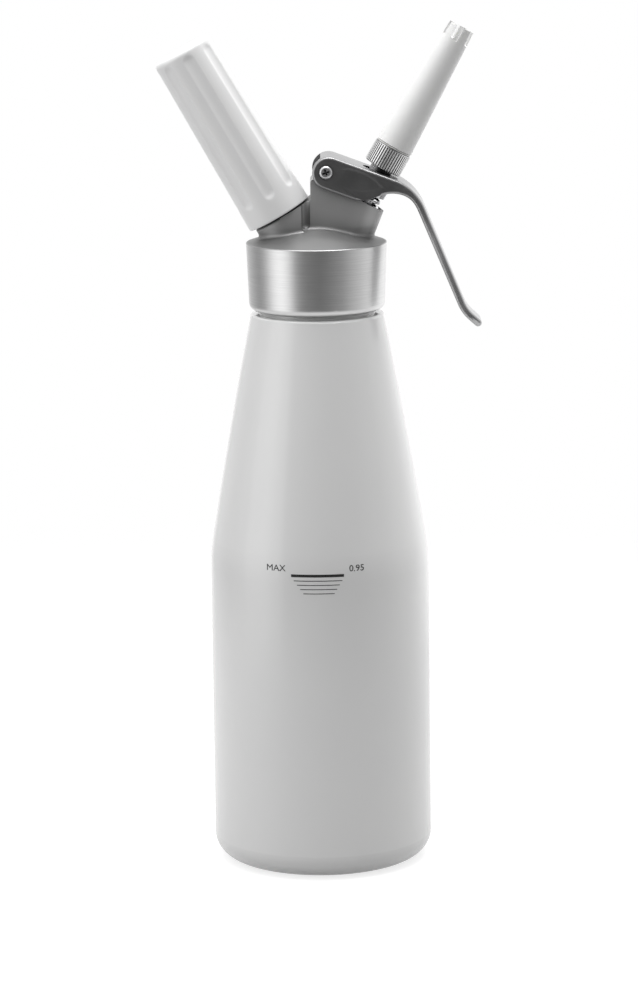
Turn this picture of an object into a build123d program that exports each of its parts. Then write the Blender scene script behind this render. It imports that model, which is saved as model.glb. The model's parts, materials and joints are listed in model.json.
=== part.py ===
from build123d import *
from math import asin, cos, radians, sin, tan
import os

# Whipped cream dispenser, in millimetres. The bottle stands on z = 0 with its axis on +Z.
# The head screws onto the bottle's neck. The gas charger holder leans to -X and the outlet
# valve to +X; their axes cross the bottle's axis, the holder's a little above the valve's. The
# lever hinges about a line along Y, pushes the valve down its own axis and hangs on +X.

# ---- clearances ----
seat_gap = 0.3           # flat or curved neighbours that move apart
fit_gap = 0.05           # running fit of a shaft in its bore, on the radius
snug_gap = 0.02          # pieces of one body that are screwed or pressed together
thread_gap = 0.35        # plain cylinder that stands for a fine thread, to its mate
thread_height = 1.25     # the same at the bottle's coarse thread

# ---- bottle ----
bottle_radius = 49.0
base_round = 10.8
base_groove_radius = 30.0
base_groove_width = 2.4
base_groove_depth = 0.7
straight_top = 135.6
shoulder_radius = 67.0
shoulder_turn = 9.2
flank_height = 246.6
ledge_width = 4.1            # top of the flank beyond the neck
rim_round = 1.2
bottle_wall = 1.2
neck_radius = 25.6
neck_wall = 2.2
neck_height = 22.0
neck_edge = 0.6

# ---- head: collar and cast top ----
collar_gap = 1.5
collar_height = 30.0
collar_radius = 31.1
collar_taper = 1.0
collar_round = 3.4
collar_edge = 0.3
shoulder_slope = 18.5
casting_round = 1.6          # where the bosses and the tower rise from the slope
gasket_thickness = 1.5
gasket_wall = 3.4

# ---- tilted axes ----
axis_cross_height = 11.5     # above the collar's lower edge
axis_tilt = 30.0
holder_axis_rise = 2.7       # holder's crossing point above the valve's

# ---- charger holder side, heights along its own axis from the crossing point ----
boss_radius = 12.4
boss_face = 31.9
boss_edge = 0.5
boss_web_reach = 11.0         # filler beside the boss, as wide as the boss
boss_web_root = 18.0         # lowest point of the webs, inside the casting
tower_web_reach = 16.2        # thinner filler that joins the web to the tower
crease_radius = 2.2          # hollow between the web and the tower's side
crease_depth = 0.9
crease_foot = 287.8
boss_root = 12.0             # where bosses start, inside the head
stub_radius = 10.0
stub_length = 15.3
holder_base_radius = 14.9
holder_top_radius = 13.8
holder_length = 83.9
holder_top_round = 2.4
holder_base_round = 0.4
holder_gasket_thickness = 0.5
holder_gasket_width = 1.2
holder_roof = 6.05
flute_count = 8
flute_width = 5.2
flute_depth = 0.75
flute_base_margin = 9.0
flute_top_margin = 3.0
flute_start = -83.5          # angle of the first flute about the holder's axis
charger_radius = 9.0
charger_length = 65.7
charger_neck_radius = 4.3
charger_neck_length = 7.6
charger_shoulder_length = 8.5
inlet_recess_radius = 5.0
inlet_recess_depth = 4.0
inlet_seal_thickness = 1.0
inlet_bore_radius = 4.4
inlet_body_length = 9.0
inlet_stem_radius = 2.2
inlet_stem_length = 9.0
sleeve_wall = 1.2
chamber_depth = 12.0
gas_bore_radius = 0.5
gas_passage_radius = 1.2
pin_radius = 1.0
pin_length = 3.9
pin_point = 1.5
pin_point_radius = 0.35

# ---- outlet valve side, heights along its own axis from the crossing point ----
valve_boss_radius = 9.9
valve_boss_face = 42.3
valve_boss_lean = 22.0       # its outside stands more upright than the valve
valve_boss_length = 25.0
seat_face = 6.5
seat_stub_radius = 8.0
stem_radius = 4.0
stem_bore_radius = 2.6
stem_top = 66.0
stem_shoulder = 0.7
port_radius = 1.5
port_height = 1.9
seal_radius = 7.0
seal_thickness = 3.3
retainer_radius = 6.4
retainer_thickness = 2.0
spring_pocket_radius = 8.6
spring_pocket_depth = 9.0
guide_radius = 6.0
guide_length = 7.0
o_ring_section = 0.95
spring_coil_radius = 6.8
spring_wire_radius = 0.6
spring_turns = 6
cup_radius = 8.2
cup_wall = 0.7
cup_top = 52.0
cup_plate = 1.4
cup_skirt = 5.2
ring_base = 58.8
ring_length = 9.8
ring_radius = 8.55
ring_lip = 0.4
ring_lip_step = 0.2
ring_edge = 0.5
knurl_count = 45
knurl_depth = 0.35
hub_radius = 5.0
post_radius = 5.4
post_length = 11.0
post_bore_radius = 3.0
tip_seal_thickness = 0.6
tip_seal_gap = 0.2
tip_seal_radius = 8.0
tip_base_radius = 8.4
tip_end_radius = 5.8
tip_length = 59.85
outlet_bore_radius = 4.1
outlet_bore_length = 12.0
tip_socket_depth = 13.0
tip_socket_step = 0.8
tooth_count = 5
tooth_gap = 3.5
tooth_depth = 6.5
tooth_gap_corner = 0.7
tooth_turn = -97.0           # angle of the first gap about the valve's axis
tooth_flare = 0.4            # how much wider the mouth is at the ends of the teeth

# ---- lever ----
pivot_offset = 21.3          # pivot line to valve axis
pivot_height = 45.9          # along the valve axis
ear_radius = 4.5
tower_wall = 6.9             # pivot line to the tower's flat left side
tower_drop = 2.4             # tower's corner below the pivot line
tower_corner = 2.0
cheek_inner = 10.4
cheek_thickness = 3.0
arm_angle = 20.5
arm_half_height = 7.2
arm_end_offset = 1.3
arm_length = 29.5
belly_length = 14.0          # straight part of the arm's underside
belly_end = 27.5             # where the arm's underside has thinned
belly_end_height = 0.2       # and how far that point lies above the arm's middle line
web_thickness = 2.6
elbow_radius = 23.0
elbow_blend = 11.0           # degrees of the inner elbow left below the arm's underside
handle_lean = 22.4
handle_length = 45.5
handle_thickness = 3.35
flick_radius = 15.0
flick_turn = 24.6
flick_length = 4.5
lever_edge = 1.2             # rounding along both sides of arm and handle
handle_half_width = 10.6
handle_tip_half_width = 9.2
handle_tip_corner = 7.7
handle_tip_drop = 72.6       # tip's lowest point below the pivot line
waist_start = 13.2           # the handle narrows from here below the pivot line
waist_length = 26.0
pad_half_width = 1.6
pad_height = 7.0
neck_slot_margin = 0.6
neck_slot_back = 2.3
pin_shaft_radius = 2.5
screw_radius = 1.5
screw_length = 7.0
screw_head_radius = 2.95
screw_head_height = 1.9
screw_recess_radius = 3.4
screw_recess_depth = 0.6
screw_crown = 1.1
cross_length = 3.2
cross_width = 0.7
cross_depth = 0.9
cross_angle = 20.0
leaf_depth = 0.5
leaf_points = [(9, 5.4), (18, 5.0), (26.2, 0.6), (23, -4.4), (14, -5.6), (8, -2.5)]

# ---- what follows from the sizes above ----
turn = radians(shoulder_turn)
shoulder_centre = bottle_radius - shoulder_radius
# the flank is the arc that leaves the shoulder smoothly and ends at the ledge
flank_run = (neck_radius + ledge_width - shoulder_centre - shoulder_radius * cos(turn),
             flank_height - straight_top - shoulder_radius * sin(turn))
flank_radius = -(flank_run[0] ** 2 + flank_run[1] ** 2) / (
    2 * (flank_run[0] * cos(turn) + flank_run[1] * sin(turn)))
flank_centre = (shoulder_centre + (shoulder_radius - flank_radius) * cos(turn),
                straight_top + (shoulder_radius - flank_radius) * sin(turn))
flank_end = asin((flank_height - flank_centre[1]) / flank_radius)
ledge_height = flank_height + rim_round * (1 - sin(flank_end))
neck_top = ledge_height + neck_height
collar_bottom = ledge_height + collar_gap
collar_top = collar_bottom + collar_height
gasket_bottom = neck_top + seat_gap
ceiling = gasket_bottom + gasket_thickness + seat_gap
axis_cross = collar_bottom + axis_cross_height
holder_cross = axis_cross + holder_axis_rise
skirt_bore = neck_radius + thread_height
tilt = radians(axis_tilt)

holder_base = boss_face + holder_gasket_thickness + seat_gap
holder_top = holder_base + holder_length
charger_end = holder_top - holder_roof - seat_gap
charger_tip = charger_end - charger_length
stub_top = boss_face + stub_length
recess_floor = stub_top - inlet_recess_depth
inlet_body_base = recess_floor - inlet_body_length
chamber_floor = inlet_body_base - chamber_depth

pocket_floor = valve_boss_face - spring_pocket_depth
guide_base = pocket_floor - guide_length
seal_top = seat_face - seat_gap
seal_base = seal_top - seal_thickness
ring_top = ring_base + ring_length
tip_seal_base = ring_top + tip_seal_gap
tip_base = tip_seal_base + tip_seal_thickness + tip_seal_gap
tip_end = tip_base + tip_length

pivot = (pivot_height * sin(tilt) - pivot_offset * cos(tilt),
         axis_cross + pivot_height * cos(tilt) + pivot_offset * sin(tilt))
cheek_outer = cheek_inner + cheek_thickness


# ---- helpers ----
def turned(points):
    """Solid of revolution about Z from a closed outline of (radius, height) points."""
    outline = Polyline(*[(r, 0, z) for r, z in points], close=True)
    return revolve(make_face(outline), Axis.Z)


def ring(inner, outer, low, high):
    """Plain ring between two heights."""
    return turned([(inner, low), (outer, low), (outer, high), (inner, high)])


def rod(radius, low, high):
    """Plain cylinder on Z between two heights."""
    return Pos(0, 0, low) * Cylinder(radius, high - low,
                                     align=(Align.CENTER, Align.CENTER, Align.MIN))


def on_valve_axis(shape):
    """Move a shape that was made on Z onto the outlet valve's axis."""
    return Pos(0, 0, axis_cross) * Rot(0, axis_tilt, 0) * shape


def on_holder_axis(shape):
    """Move a shape that was made on Z onto the charger holder's axis."""
    return Pos(0, 0, holder_cross) * Rot(0, -axis_tilt, 0) * shape


def plate(outline, half_width):
    """Extrude an outline in the XZ plane to both sides of it."""
    return extrude(make_face(outline), amount=half_width, both=True)


def valve_point(along, across):
    """Point in the XZ plane from distances along and square to the valve's axis."""
    return (along * sin(tilt) + across * cos(tilt), 0,
            axis_cross + along * cos(tilt) - across * sin(tilt))


def holder_point(along, across):
    """Point in the XZ plane from distances along and square to the holder's axis."""
    return (-along * sin(tilt) + across * cos(tilt), 0,
            holder_cross + along * cos(tilt) + across * sin(tilt))


def arm_point(along, up):
    """Point in the XZ plane from distances along and square to the lever's arm."""
    a = radians(arm_angle)
    return (pivot[0] + along * cos(a) + up * sin(a), 0, pivot[1] - along * sin(a) + up * cos(a))


# ---- bottle ----
def bottle_side(inset):
    """Edges of the bottle's side, from the axis to the ledge, moved inwards by inset."""
    def arc(centre, radius, start, end):
        mid = (start + end) / 2
        return ThreePointArc(*[(centre[0] + radius * cos(a), 0, centre[1] + radius * sin(a))
                               for a in (start, mid, end)])

    base_arc = arc((bottle_radius - base_round, base_round), base_round - inset, radians(-90), 0)
    shoulder = arc((shoulder_centre, straight_top), shoulder_radius - inset, 0, turn)
    flank = arc(flank_centre, flank_radius - inset, turn, flank_end)
    return [Line((0, 0, inset), base_arc @ 0), base_arc, Line(base_arc @ 1, shoulder @ 0),
            shoulder, flank]


def bottle():
    outer = bottle_side(0)
    rim_centre = outer[-1] @ 1 - Vector(rim_round * cos(flank_end), 0, rim_round * sin(flank_end))
    rim = ThreePointArc(outer[-1] @ 1,
                        rim_centre + Vector(rim_round * cos((flank_end + radians(90)) / 2), 0,
                                            rim_round * sin((flank_end + radians(90)) / 2)),
                        rim_centre + Vector(0, 0, rim_round))
    neck = Polyline(rim @ 1, (neck_radius, 0, ledge_height), (neck_radius, 0, neck_top - neck_edge),
                    (neck_radius - neck_edge, 0, neck_top), (0, 0, neck_top), (0, 0, 0))
    skin = revolve(make_face(outer + [rim, neck]), Axis.Z)

    inner = bottle_side(bottle_wall)
    mouth_radius = neck_radius - neck_wall
    inner_ledge = (inner[-1] @ 1).Z
    mouth = Polyline(inner[-1] @ 1, (mouth_radius, 0, inner_ledge),
                     (mouth_radius, 0, neck_top + 1), (0, 0, neck_top + 1), (0, 0, bottle_wall))
    cavity = revolve(make_face(inner + [mouth]), Axis.Z)
    groove = ring(base_groove_radius, base_groove_radius + base_groove_width,
                  -1, base_groove_depth)
    return skin - cavity - groove


def head_gasket():
    return ring(neck_radius - gasket_wall, neck_radius, gasket_bottom,
                gasket_bottom + gasket_thickness)


# ---- head ----
def collar_and_shoulder():
    """The collar with its sloped top, still solid inside."""
    low_radius = collar_radius - collar_taper
    crown = collar_radius - collar_edge
    bend = ThreePointArc((low_radius - collar_round, 0, collar_bottom),
                         (low_radius - collar_round * (1 - sin(radians(45))), 0,
                          collar_bottom + collar_round * (1 - cos(radians(45)))),
                         (low_radius, 0, collar_bottom + collar_round))
    top = Polyline(bend @ 1, (collar_radius, 0, collar_top - collar_edge),
                   (crown, 0, collar_top),
                   (0, 0, collar_top + crown * tan(radians(shoulder_slope))),
                   (0, 0, collar_bottom), bend @ 0)
    return revolve(make_face([bend, top]), Axis.Z)


def tower():
    """Flat-sided block that carries the pivot ear and runs into the valve boss."""
    left = pivot[0] - tower_wall
    corner_point = (left, 0, pivot[1] - tower_drop)
    shelf = valve_point(valve_boss_face, 0)
    shelf_left = valve_point(valve_boss_face, ear_radius - pivot_offset)
    lean = radians(valve_boss_lean)
    root = (shelf[0] - valve_boss_length * sin(lean), 0, shelf[2] - valve_boss_length * cos(lean))
    block = plate(Polyline((left, 0, root[2]), corner_point, shelf_left, shelf, root,
                           close=True), valve_boss_radius)
    corner = block.edges().filter_by(Axis.Y).sort_by_distance(corner_point)[0]
    block = fillet(corner, tower_corner)
    ear = Pos(pivot[0], 0, pivot[1]) * Rot(90, 0, 0) * Cylinder(ear_radius, 2 * valve_boss_radius)
    return block + ear


def valve_boss():
    """Post round the outlet valve, cut off square to the valve's axis."""
    post = Rot(0, valve_boss_lean, 0) * rod(valve_boss_radius, -valve_boss_length,
                                            valve_boss_radius)
    below_face = on_valve_axis(rod(2 * valve_boss_radius, boss_root, valve_boss_face))
    return (Pos(*valve_point(valve_boss_face, 0)) * post) & below_face


def boss_web(reach, half_width):
    """Filler that runs from the holder's boss towards the tower, flush with the boss face."""
    start = holder_point(boss_face, 0)
    corner = holder_point(boss_face, reach)
    foot = holder_point(boss_web_root, 0)
    return plate(Polyline(start, corner, (corner[0], 0, foot[2]), foot, close=True), half_width)


def head_body():
    body = collar_and_shoulder() + tower() + valve_boss()
    body += boss_web(tower_web_reach, valve_boss_radius) + boss_web(boss_web_reach, boss_radius)
    boss = rod(boss_radius, boss_root, boss_face)
    boss = chamfer(boss.edges().sort_by(Axis.Z)[-1], boss_edge)
    body += on_holder_axis(boss)
    slope = [f for f in body.faces().filter_by(GeomType.CONE) if f.center().Z > collar_top][0]
    foot = [e for e in slope.edges()
            if e.geom_type != GeomType.LINE and (e @ 0.5).Z > collar_top + collar_edge]
    body = fillet(foot, casting_round)

    # hollow in the crease between the web and the tower, on both sides
    crease = holder_point(boss_face, boss_web_reach)
    middle = (crease[0] + pivot[0] - tower_wall) / 2
    hollow = rod(crease_radius, crease_foot, pivot[1])
    hollow += Pos(0, 0, crease_foot) * Sphere(crease_radius)
    for side in (-1, 1):
        body -= Pos(middle, side * (valve_boss_radius + crease_radius - crease_depth), 0) * hollow

    # room for the bottle's neck
    body -= rod(skirt_bore, collar_bottom - 1, ceiling)
    body += on_valve_axis(rod(seat_stub_radius, seat_face, 1.5 * boss_root))
    body += on_holder_axis(rod(stub_radius, boss_face - boss_edge, stub_top))

    # outlet: stem bore, guide and seal bore, spring pocket
    body -= on_valve_axis(rod(stem_radius + fit_gap, seat_face - 1, valve_boss_face))
    body -= on_valve_axis(rod(guide_radius, guide_base - 2 * o_ring_section - seat_gap,
                              pocket_floor + 1))
    body -= on_valve_axis(rod(spring_pocket_radius, pocket_floor, cup_top))

    # inlet: recess for the charger's neck, bore, chamber and passage to the bottle
    body -= on_holder_axis(rod(inlet_recess_radius, recess_floor, stub_top + 1))
    body -= on_holder_axis(rod(inlet_bore_radius + snug_gap, chamber_floor, recess_floor + 1))
    passage_top = holder_point(chamber_floor, 0)
    body -= Pos(passage_top[0], 0, 0) * rod(gas_passage_radius, ceiling - 1, passage_top[2] + 1)

    # pivot bore
    body -= Pos(pivot[0], 0, pivot[1]) * Rot(90, 0, 0) * Cylinder(pin_shaft_radius + fit_gap,
                                                                     2 * cheek_outer)
    return body


def stem_guide():
    return on_valve_axis(ring(stem_radius + fit_gap, guide_radius - snug_gap,
                              guide_base, pocket_floor - snug_gap))


def stem_o_ring():
    middle = stem_radius + fit_gap + o_ring_section
    height = guide_base - o_ring_section - fit_gap
    return on_valve_axis(Pos(0, 0, height) * Torus(middle, o_ring_section - snug_gap))


# ---- gas side ----
def charger_holder():
    shell = turned([(0, holder_base), (holder_base_radius, holder_base),
                    (holder_top_radius, holder_top), (0, holder_top)])
    shell = fillet(shell.edges().sort_by(Axis.Z)[-1], holder_top_round)
    shell = fillet(shell.edges().sort_by(Axis.Z)[0], holder_base_round)
    slope = (holder_base_radius - holder_top_radius) / holder_length
    low = holder_base + flute_base_margin + flute_width / 2
    high = holder_top - flute_top_margin - flute_width / 2
    # a round-ended cutter whose chord at the surface is the flute's width
    cutter_radius = (flute_width ** 2 / 4 + flute_depth ** 2) / (2 * flute_depth)
    reach = cutter_radius - flute_depth

    def surface(height):
        return holder_base_radius - slope * (height - holder_base)
    for i in range(flute_count):
        foot = Vector(surface(low) + reach, 0, low)
        head = Vector(surface(high) + reach, 0, high)
        bar = Plane(origin=foot, z_dir=head - foot) * Cylinder(
            cutter_radius, (head - foot).length, align=(Align.CENTER, Align.CENTER, Align.MIN))
        cutter = bar + Pos(*foot) * Sphere(cutter_radius) + Pos(*head) * Sphere(cutter_radius)
        shell -= Rot(0, 0, flute_start + 360 * i / flute_count) * cutter
    bore = charger_radius + thread_gap
    dome = charger_end - charger_radius
    shell -= rod(stub_radius + thread_gap, holder_base - 1, stub_top + holder_gasket_width)
    shell -= rod(bore, holder_base - 1, dome)
    shell -= Pos(0, 0, dome) * Sphere(charger_radius + seat_gap)
    return on_holder_axis(shell)


def holder_gasket():
    low = boss_face + seat_gap / 2
    inner = stub_radius + thread_gap / 2
    return on_holder_axis(ring(inner, inner + holder_gasket_width, low,
                               low + holder_gasket_thickness))


def gas_charger():
    neck_end = charger_tip + charger_neck_length
    body_start = neck_end + charger_shoulder_length
    dome = charger_end - charger_radius
    outline = [Line((0, 0, charger_tip), (charger_neck_radius, 0, charger_tip)),
               Line((charger_neck_radius, 0, charger_tip), (charger_neck_radius, 0, neck_end)),
               Spline((charger_neck_radius, 0, neck_end), (charger_radius, 0, body_start),
                      tangents=[(0, 0, 1), (0, 0, 1)]),
               Line((charger_radius, 0, body_start), (charger_radius, 0, dome)),
               ThreePointArc((charger_radius, 0, dome),
                             (charger_radius * sin(radians(45)), 0,
                              dome + charger_radius * cos(radians(45))), (0, 0, charger_end)),
               Line((0, 0, charger_end), (0, 0, charger_tip))]
    body = revolve(make_face(outline), Axis.Z)
    pierced = rod(pin_radius + seat_gap, charger_tip - 1, recess_floor + pin_length + seat_gap)
    return on_holder_axis(body - pierced)


def inlet_seal():
    low = recess_floor + snug_gap
    return on_holder_axis(ring(pin_radius + seat_gap, inlet_recess_radius - fit_gap, low,
                               low + inlet_seal_thickness))


def inlet_valve():
    """Hollow pin that pierces the charger, on a body screwed into the head."""
    low = inlet_body_base - inlet_stem_length
    tip = recess_floor + pin_length
    body = turned([(0, low), (inlet_stem_radius, low), (inlet_stem_radius, inlet_body_base),
                   (inlet_bore_radius, inlet_body_base), (inlet_bore_radius, recess_floor),
                   (pin_radius, recess_floor), (pin_radius, tip - pin_point),
                   (pin_point_radius, tip), (0, tip)])
    mid = low + inlet_stem_length / 2
    body -= rod(gas_bore_radius, mid, recess_floor)
    body -= (Pos(0, 0, mid + gas_bore_radius) * Rot(0, 90, 0)
             * Cylinder(gas_bore_radius, 4 * inlet_stem_radius))
    return on_holder_axis(body)


def inlet_check_sleeve():
    low = inlet_body_base - inlet_stem_length + 1
    return on_holder_axis(ring(inlet_stem_radius + snug_gap, inlet_stem_radius + sleeve_wall,
                               low, inlet_body_base - snug_gap))


# ---- outlet side ----
def valve_stem():
    low = seal_base - retainer_thickness
    shoulder_top = cup_top - cup_plate
    stem = rod(stem_radius, low, stem_top)
    stem += ring(stem_radius - 1, stem_radius + stem_shoulder, shoulder_top - 1, shoulder_top)
    stem -= rod(stem_bore_radius, seat_face, stem_top + 1)
    for angle in (0, 90):
        stem -= (Pos(0, 0, seat_face + port_height) * Rot(0, 0, angle) * Rot(90, 0, 0)
                 * Cylinder(port_radius, 4 * stem_radius))
    return on_valve_axis(stem)


def valve_seal():
    return on_valve_axis(ring(stem_radius + snug_gap, seal_radius, seal_base, seal_top))


def seal_retainer():
    nut = rod(retainer_radius, seal_base - retainer_thickness, seal_base - snug_gap)
    nut -= rod(stem_radius + snug_gap, seal_base - retainer_thickness - 1, seal_base)
    return on_valve_axis(nut)


def spring_cup():
    low = cup_top - cup_skirt
    inner = cup_radius - cup_wall
    hole = stem_radius + snug_gap
    return on_valve_axis(turned([(hole, cup_top - cup_plate + snug_gap),
                                 (inner, cup_top - cup_plate), (inner, low), (cup_radius, low),
                                 (cup_radius, cup_top), (hole, cup_top)]))


def valve_spring():
    low = pocket_floor + spring_wire_radius + fit_gap
    high = cup_top - cup_plate - spring_wire_radius - fit_gap
    coil = Helix(pitch=(high - low) / spring_turns, height=high - low,
                 radius=spring_coil_radius)
    section = Plane(origin=coil @ 0, z_dir=coil % 0) * Circle(spring_wire_radius)
    return on_valve_axis(Pos(0, 0, low) * sweep(section, path=coil))


def nozzle_adapter():
    lip = ring_top - ring_lip
    lip_radius = ring_radius - ring_lip_step
    post_top = ring_top + post_length
    body = turned([(0, cup_top + snug_gap), (hub_radius, cup_top + snug_gap),
                   (hub_radius, ring_base), (ring_radius - ring_edge, ring_base),
                   (ring_radius, ring_base + ring_edge), (ring_radius, lip),
                   (lip_radius, lip), (lip_radius, ring_top), (post_radius, ring_top),
                   (post_radius, post_top), (0, post_top)])
    for i in range(knurl_count):
        notch = Pos(ring_radius, 0, (ring_base + lip) / 2) * Rot(0, 0, 45) * Box(
            knurl_depth * 2 ** 0.5, knurl_depth * 2 ** 0.5, ring_length)
        body -= Rot(0, 0, 360 * (i + 0.5) / knurl_count) * (notch - rod(
            2 * ring_radius, lip, ring_top + 1))
    body -= rod(stem_radius + snug_gap, cup_top - 1, stem_top + seat_gap)
    body -= rod(post_bore_radius, stem_top, post_top + 1)
    return on_valve_axis(body)


def tip_seal():
    return on_valve_axis(ring(post_radius + thread_gap / 2, tip_seal_radius, tip_seal_base,
                              tip_seal_base + tip_seal_thickness))


def decorating_tip():
    socket_radius = post_radius + thread_gap
    socket_top = tip_base + tip_socket_depth
    straight_bore = tip_end - tooth_depth - outlet_bore_length
    tip = turned([(socket_radius, tip_base), (tip_base_radius, tip_base),
                  (tip_end_radius, tip_end), (outlet_bore_radius + tooth_flare, tip_end),
                  (outlet_bore_radius, tip_end - tooth_depth),
                  (outlet_bore_radius, straight_bore),
                  (socket_radius - tip_socket_step, socket_top + tip_socket_step),
                  (socket_radius, socket_top)])
    slot = Box(tip_base_radius, tooth_gap, 2 * tooth_depth)
    slot = fillet(slot.edges().filter_by(Axis.X).group_by(Axis.Z)[0], tooth_gap_corner)
    for i in range(tooth_count):
        tip -= (Rot(0, 0, tooth_turn + 360 * i / tooth_count)
                * Pos(tip_base_radius / 2, 0, tip_end) * slot)
    return on_valve_axis(tip)


# ---- lever ----
def lever_outline():
    """Side view of the lever: arm, elbow, handle and its turned-out tip."""
    a = radians(arm_angle)
    along = Vector(cos(a), 0, -sin(a))
    across = Vector(sin(a), 0, cos(a))
    end = Vector(*arm_point(arm_end_offset, 0))
    top = Line(end + across * arm_half_height, end + across * arm_half_height
               + along * (arm_length - arm_end_offset))
    down = Vector(sin(radians(handle_lean)), 0, -cos(radians(handle_lean)))
    out = Vector(cos(radians(handle_lean)), 0, sin(radians(handle_lean)))

    def bend(start, centre, sweep_angle):
        """Arc about a point in the XZ plane; a positive angle turns clockwise."""
        half = Rot(0, sweep_angle / 2, 0)
        full = Rot(0, sweep_angle, 0)
        spoke = start - centre
        return ThreePointArc(start, centre + Vector(*(half * Pos(*spoke)).position),
                             centre + Vector(*(full * Pos(*spoke)).position))

    elbow_centre = top @ 1 - across * elbow_radius
    elbow = bend(top @ 1, elbow_centre, 90 - arm_angle - handle_lean)
    back = Line(elbow @ 1, elbow @ 1 + down * handle_length)
    flick_centre = back @ 1 + out * flick_radius
    flick = bend(back @ 1, flick_centre, -flick_turn)
    lean = radians(handle_lean + flick_turn)
    tip_down = Vector(sin(lean), 0, -cos(lean))
    tip_out = Vector(cos(lean), 0, sin(lean))
    outer_tip = Line(flick @ 1, flick @ 1 + tip_down * flick_length)
    half = handle_thickness / 2
    nose = ThreePointArc(outer_tip @ 1, outer_tip @ 1 - tip_out * half + tip_down * half,
                         outer_tip @ 1 - tip_out * handle_thickness)
    inner_tip = Line(nose @ 1, flick @ 1 - tip_out * handle_thickness)
    inner_flick = bend(inner_tip @ 1, flick_centre, flick_turn)
    front = Line(inner_flick @ 1, elbow @ 1 - out * handle_thickness)
    inner_elbow = bend(front @ 1, elbow_centre, -elbow_blend)
    belly = Line(end - across * arm_half_height + along * belly_length,
                 end - across * arm_half_height)
    hollow = end + along * belly_end + across * belly_end_height
    under = Spline(inner_elbow @ 1, hollow, belly @ 0,
                   tangents=[inner_elbow % 1, -along])
    round_end = ThreePointArc(belly @ 1, end - along * arm_half_height,
                              end + across * arm_half_height)
    return [top, elbow, back, flick, outer_tip, nose, inner_tip, inner_flick, front,
            inner_elbow, under, belly, round_end], elbow_centre


def lever_widths():
    """Front view that the lever is trimmed to, wide at the arms and narrow at the tip."""
    top = pivot[1] + 2 * arm_half_height
    start = pivot[1] - waist_start
    tip_z = pivot[1] - handle_tip_drop
    corner = handle_tip_corner
    side = Spline((0, cheek_outer, start), (0, handle_half_width, start - waist_length),
                  (0, handle_tip_half_width, tip_z + corner),
                  tangents=[(0, 0, -1), (0, 0, -1)])
    foot = ThreePointArc((0, handle_tip_half_width, tip_z + corner),
                         (0, handle_tip_half_width - corner * (1 - cos(radians(45))),
                          tip_z + corner * (1 - sin(radians(45)))),
                         (0, handle_tip_half_width - corner, tip_z))
    right = [Line((0, cheek_outer, top), (0, cheek_outer, start)), side, foot,
             Line((0, handle_tip_half_width - corner, tip_z), (0, 0, tip_z))]
    left = [mirror(edge, about=Plane.XZ) for edge in right]
    lid = Line((0, cheek_outer, top), (0, -cheek_outer, top))
    return extrude(make_face(right + left + [lid]), amount=2 * handle_tip_drop, both=True)


def lever():
    outline, elbow_centre = lever_outline()
    body = plate(outline, cheek_outer) & lever_widths()
    rims = [edge for edge in body.edges() if abs((edge % 0.5).Y) < 0.9]
    body = fillet(rims, lever_edge)
    underside = arm_half_height - web_thickness
    far = arm_length - web_thickness
    reach = 2 * arm_length
    body -= plate(Polyline(arm_point(-reach, underside), arm_point(far, underside),
                           arm_point(far, -reach), arm_point(-reach, -reach), close=True),
                  cheek_inner)
    body -= Pos(*elbow_centre) * Rot(90, 0, 0) * Cylinder(elbow_radius - handle_thickness,
                                                         2 * cheek_inner)
    # pads that press on the spring cup, one each side of the stem
    pad_low = cup_top + seat_gap + pad_half_width
    pad_high = cup_top + pad_height
    pad = (Pos(0, 0, pad_low) * Rot(90, 0, 0) * Cylinder(pad_half_width, 2 * cheek_inner)
           + Pos(0, 0, (pad_low + pad_high) / 2)
           * Box(2 * pad_half_width, 2 * cheek_inner, pad_high - pad_low))
    inside = arm_half_height - web_thickness / 2
    below_top = plate(Polyline(arm_point(-reach, inside), arm_point(reach, inside),
                               arm_point(reach, -reach), arm_point(-reach, -reach), close=True),
                      cheek_inner)
    body += on_valve_axis(pad) & below_top
    # slot that the adapter's hub passes through, longer towards the pivot
    half = hub_radius + neck_slot_margin
    slot = Pos(-neck_slot_back / 2, 0, 0) * Box(neck_slot_back, 2 * half, reach)
    slot += Cylinder(half, reach) + Pos(-neck_slot_back, 0, 0) * Cylinder(half, reach)
    body -= on_valve_axis(Pos(0, 0, cup_top) * slot)
    # pin holes, screw recesses and the leaf-shaped hollows in the cheeks
    at_pivot = Pos(pivot[0], 0, pivot[1])
    body -= at_pivot * Rot(90, 0, 0) * Cylinder(pin_shaft_radius + snug_gap, 3 * cheek_outer)
    leaf = make_face(Spline(*[arm_point(*point) for point in leaf_points], periodic=True))
    for side in (-1, 1):
        face_y = side * (cheek_outer - screw_recess_depth / 2)
        body -= at_pivot * Pos(0, face_y, 0) * Rot(90, 0, 0) * Cylinder(screw_recess_radius,
                                                                      screw_recess_depth)
        body -= Pos(0, side * (cheek_outer - leaf_depth), 0) * extrude(
            leaf, amount=2 * leaf_depth, dir=(0, side, 0))
    return body


def pivot_pin():
    half = cheek_outer - screw_recess_depth - snug_gap
    pin = Cylinder(pin_shaft_radius, 2 * half)
    for side in (-1, 1):
        pin -= Pos(0, 0, side * half) * Cylinder(screw_radius + snug_gap, 2 * screw_length + 1)
    return Pos(pivot[0], 0, pivot[1]) * Rot(90, 0, 0) * pin


def pivot_screw(side):
    """Cross-recessed pan head screw, its head against the cheek, on the side -1 or 1 of Y."""
    seat = cheek_outer - screw_recess_depth
    head = rod(screw_head_radius, 0, screw_head_height)
    head = fillet(head.edges().sort_by(Axis.Z)[-1], screw_crown)
    for angle in (0, 90):
        head -= (Pos(0, 0, screw_head_height) * Rot(0, 0, angle + cross_angle)
                 * Box(cross_length, cross_width, 2 * cross_depth))
    screw = head + rod(screw_radius, -screw_length, 0.1)
    return Pos(pivot[0], side * seat, pivot[1]) * Rot(-90 * side, 0, 0) * screw


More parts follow.
